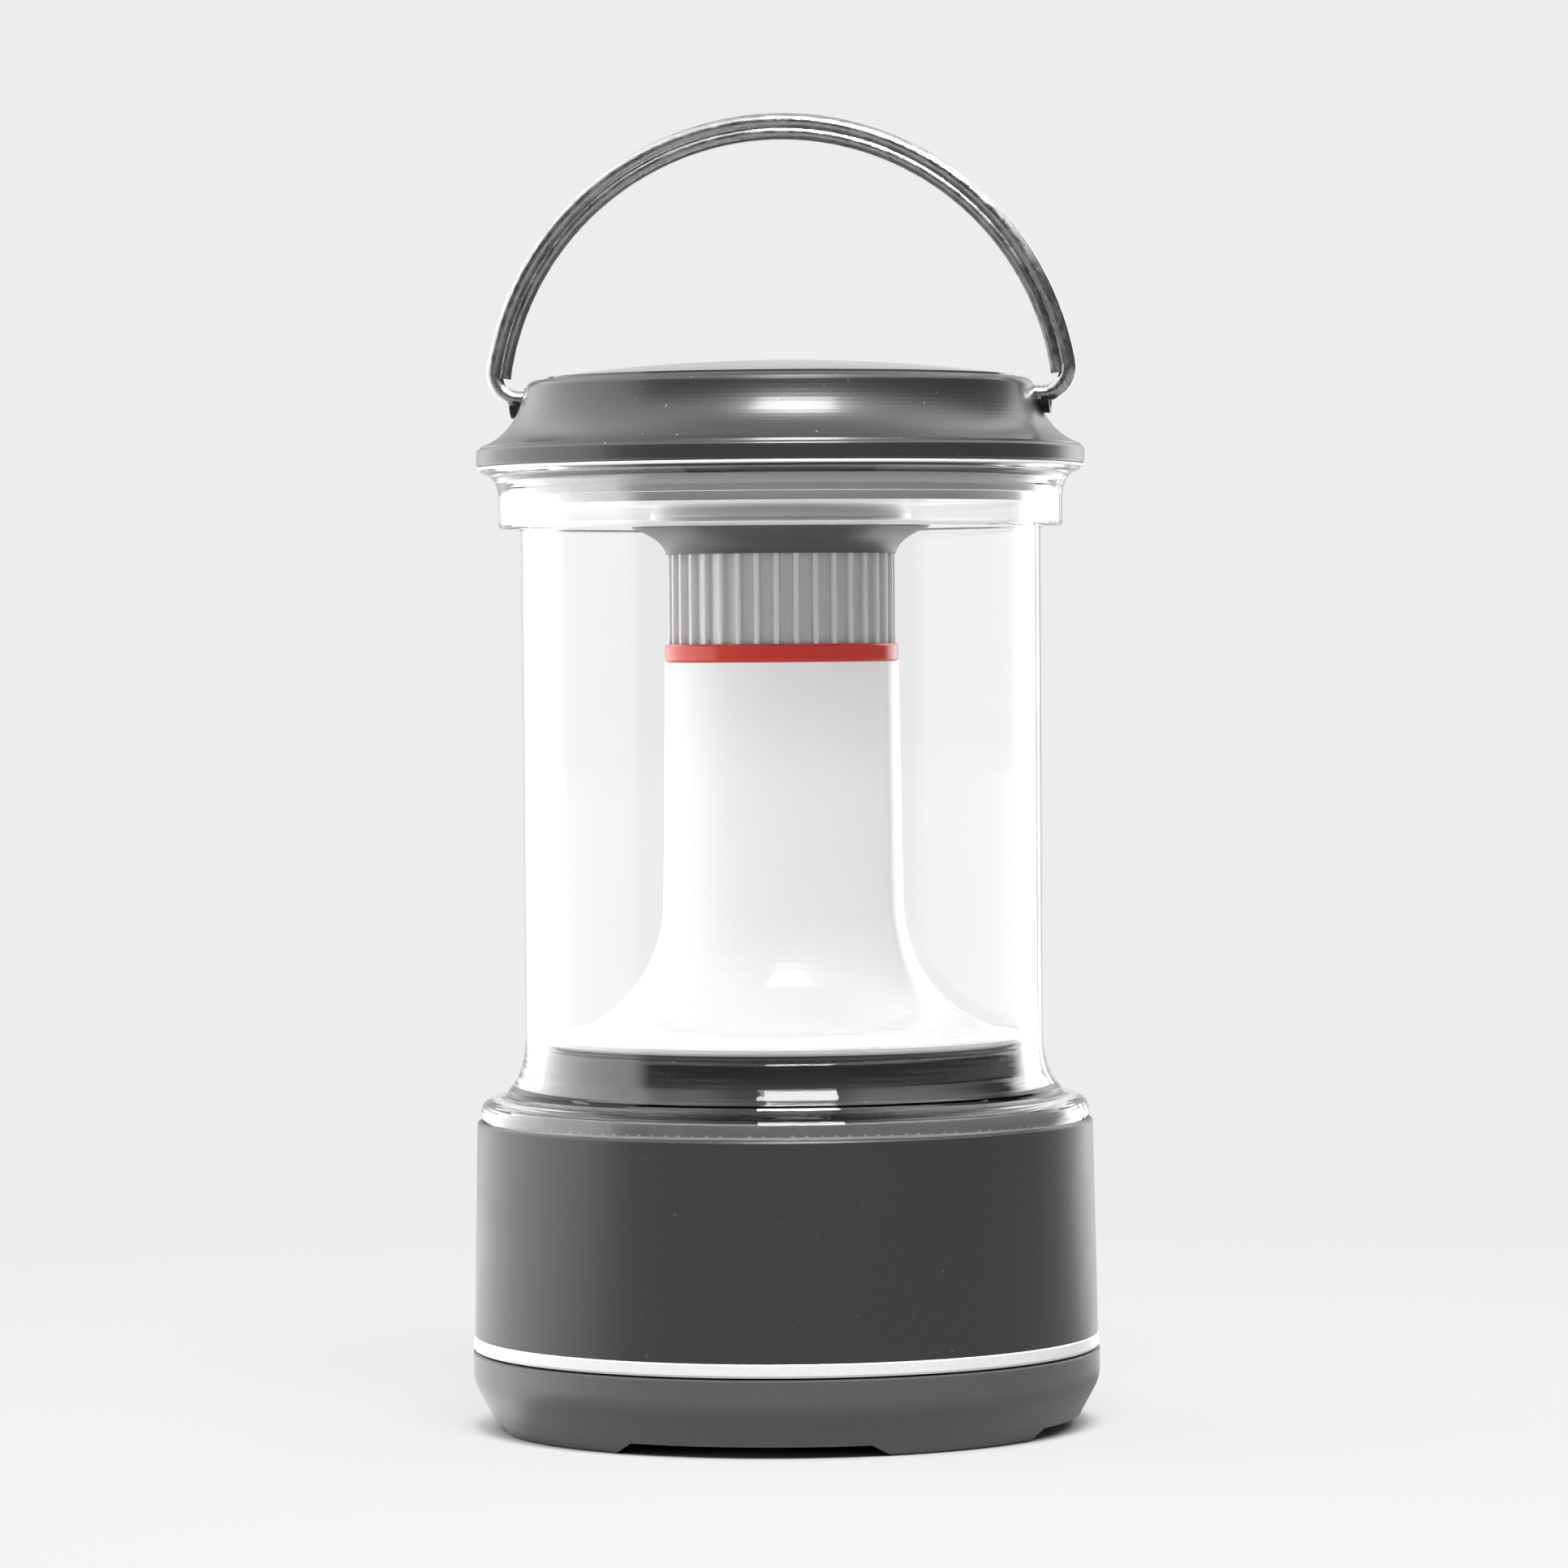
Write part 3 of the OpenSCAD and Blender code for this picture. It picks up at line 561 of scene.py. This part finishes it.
def makeCapShadeBand():
    near, far, low, high, edge = (capShadeBand[k] for k in ("inner", "outer", "low", "high", "round"))
    outline = rounded([(near, low), (far, low, edge), (far, high, edge), (near, high)])
    # painted shade: a dark ring where the cap's shadow falls
    addPiece("capShadeBand", lathe(outline), "lantern", "cap_grey")


# Under the battery door: a bar to turn it by, between two rings of the moulding
doorGrip = {"inner": 17.5, "outer": 43.5, "ringWidth": 1.2, "face": 3.7, "deep": 1.5, "bar": (33, 7, 2.4),
            "taper": (0.94, 0.72), "edge": 0.5}


def makeDoorGrip():
    top, deep = doorGrip["face"] + 0.05, doorGrip["deep"]
    for name, radius in (("doorRingInner", doorGrip["inner"]), ("doorRingOuter", doorGrip["outer"])):
        near, far = radius - doorGrip["ringWidth"] / 2, radius + doorGrip["ringWidth"] / 2
        outline = rounded([(near, top - deep, 0.3), (far, top - deep, 0.3), (far, top), (near, top)])
        addPiece(name, lathe(outline), "door", "shell_grey")
    bm = bmesh.new()
    long, wide, tall = doorGrip["bar"]
    bar = bmesh.ops.create_cube(bm, size=1)["verts"]
    bmesh.ops.scale(bm, verts=bar, vec=(long * mm, wide * mm, tall * mm))
    bmesh.ops.translate(bm, verts=bar, vec=(0, 0, (top - tall / 2) * mm))
    for vert in bar:
        if vert.co.z < (top - tall / 2) * mm:
            vert.co.x *= doorGrip["taper"][0]
            vert.co.y *= doorGrip["taper"][1]
    free = [e for e in bm.edges if min(v.co.z for v in e.verts) < (top - tall / 2) * mm]
    bmesh.ops.bevel(bm, geom=free, offset=doorGrip["edge"] * mm, segments=3, profile=0.5, affect="EDGES",
                    material=-1)
    addPiece("doorBar", bm, "door", "shell_grey")


# Raised arrows beside the bar show which way the door comes off
doorArrows = {"radius": 31, "span": 34, "width": 1.6, "head": 5.2, "deep": 0.5, "face": 3.7, "steps": 14}


def makeDoorArrows():
    middle, span, head, steps = (doorArrows[k] for k in ("radius", "span", "head", "steps"))
    half = doorArrows["width"] / 2
    top, low = (doorArrows["face"] + 0.05) * mm, (doorArrows["face"] - doorArrows["deep"]) * mm
    bm = bmesh.new()
    for side in (0, 180):
        start = side + 90 - span / 2
        end = start + span
        outer = [(middle + half, start + span * k / steps) for k in range(steps + 1)]
        inner = [(middle - half, start + span * k / steps) for k in range(steps, -1, -1)]
        tip = [(middle + head / 2, end), (middle, end + math.degrees(head / middle)), (middle - head / 2, end)]
        corners = [bm.verts.new((r * math.cos(math.radians(a)) * mm, r * math.sin(math.radians(a)) * mm, top))
                   for r, a in outer + tip + inner]
        raised = bmesh.ops.extrude_face_region(bm, geom=[bm.faces.new(corners)])["geom"]
        lifted = [v for v in raised if isinstance(v, bmesh.types.BMVert)]
        bmesh.ops.translate(bm, verts=lifted, vec=(0, 0, low - top))
    addPiece("doorArrows", bm, "door", "shell_grey")


# Ribs stand round the core of the heat sink, each narrower at its tip than at its foot
heatSink = {"ribs": 36, "core": 20.5, "tip": 21.7, "footWidth": 1.3, "tipWidth": 0.8, "edge": 0.2,
            "bottom": 149.62, "top": 166.78}


def makeHeatSink():
    ribs, core, tip, edge = (heatSink[k] for k in ("ribs", "core", "tip", "edge"))
    wide, narrow, side = heatSink["footWidth"] / 2, heatSink["tipWidth"] / 2, math.pi * core / ribs
    bm = bmesh.new()
    outline = rounded([(-side, core), (-wide, core, 0.1), (-narrow, tip, edge), (narrow, tip, edge),
                       (wide, core, 0.1), (side, core)], 3)
    corners = [bm.verts.new((out * math.cos(across / core) * mm, out * math.sin(across / core) * mm,
                             heatSink["bottom"] * mm)) for across, out in outline]
    edges = [bm.edges.new(pair) for pair in zip(corners, corners[1:])]
    bmesh.ops.rotate(bm, verts=corners, cent=(0, 0, 0), matrix=Matrix.Rotation(math.pi / ribs, 3, "Z"))
    bmesh.ops.spin(bm, geom=corners + edges, cent=(0, 0, 0), axis=(0, 0, 1),
                   angle=2 * math.pi * (ribs - 1) / ribs, steps=ribs - 1, use_duplicate=True)
    bmesh.ops.remove_doubles(bm, verts=bm.verts, dist=1e-6)
    foot = bmesh.ops.contextual_create(bm, geom=bm.edges[:])["faces"]
    raised = bmesh.ops.extrude_face_region(bm, geom=foot, use_keep_orig=True)["geom"]
    lifted = [v for v in raised if isinstance(v, bmesh.types.BMVert)]
    bmesh.ops.translate(bm, verts=lifted, vec=(0, 0, (heatSink["top"] - heatSink["bottom"]) * mm))
    addPiece("heatSink", bm, "lantern", "sink_silver", ["heat_sink"])


# A raised ring with a bar across its gap marks the button
powerMark = {"radius": 3.1, "width": 0.7, "gap": 62, "bar": 3.2, "proud": 0.22, "face": 59.2, "height": 38}


def makePowerMark():
    bm = bmesh.new()
    half, depth = powerMark["width"] / 2, powerMark["proud"] + 0.1
    start = math.radians(90 + powerMark["gap"] / 2)
    sweep = math.radians(360 - powerMark["gap"])
    near, far = powerMark["radius"] - half, powerMark["radius"] + half
    outline = rounded([(near, 0), (far, 0), (far, depth, 0.12), (near, depth, 0.12)], 3)
    end = bm.faces.new([bm.verts.new((r * mm, 0, z * mm)) for r, z in outline])
    bmesh.ops.rotate(bm, verts=bm.verts, cent=(0, 0, 0), matrix=Matrix.Rotation(start, 3, "Z"))
    bmesh.ops.spin(bm, geom=[end] + list(end.edges) + list(end.verts), cent=(0, 0, 0), axis=(0, 0, 1),
                   angle=sweep, steps=48)
    bar = bmesh.ops.create_cube(bm, size=1)["verts"]
    bmesh.ops.scale(bm, verts=bar, vec=(powerMark["width"] * mm, powerMark["bar"] * mm, depth * mm))
    bmesh.ops.translate(bm, verts=bar, vec=(0, powerMark["radius"] * mm, depth / 2 * mm))
    rims = [e for e in bm.edges if all(v in bar and v.co.z > 0.5 * depth * mm for v in e.verts)]
    bmesh.ops.bevel(bm, geom=rims, offset=0.1 * mm, segments=2, profile=0.5, affect="EDGES", material=-1)
    # stand the mark up against the button's face, on the lantern's rear
    bmesh.ops.rotate(bm, verts=bm.verts, cent=(0, 0, 0), matrix=Matrix.Rotation(math.radians(-90), 3, "X"))
    bmesh.ops.rotate(bm, verts=bm.verts, cent=(0, 0, 0), matrix=Matrix.Rotation(math.radians(180), 3, "Y"))
    bmesh.ops.translate(bm, verts=bm.verts, vec=(0, (powerMark["face"] - 0.1) * mm, powerMark["height"] * mm))
    addPiece("powerMark", bm, "button", "bezel_grey")


makeCollarHighlightRing()
makeBeadReflectionBand()
makeCapShadeBand()
makeHeatSink()
makeDoorGrip()
makeDoorArrows()
makePowerMark()
print("pieces modelled")
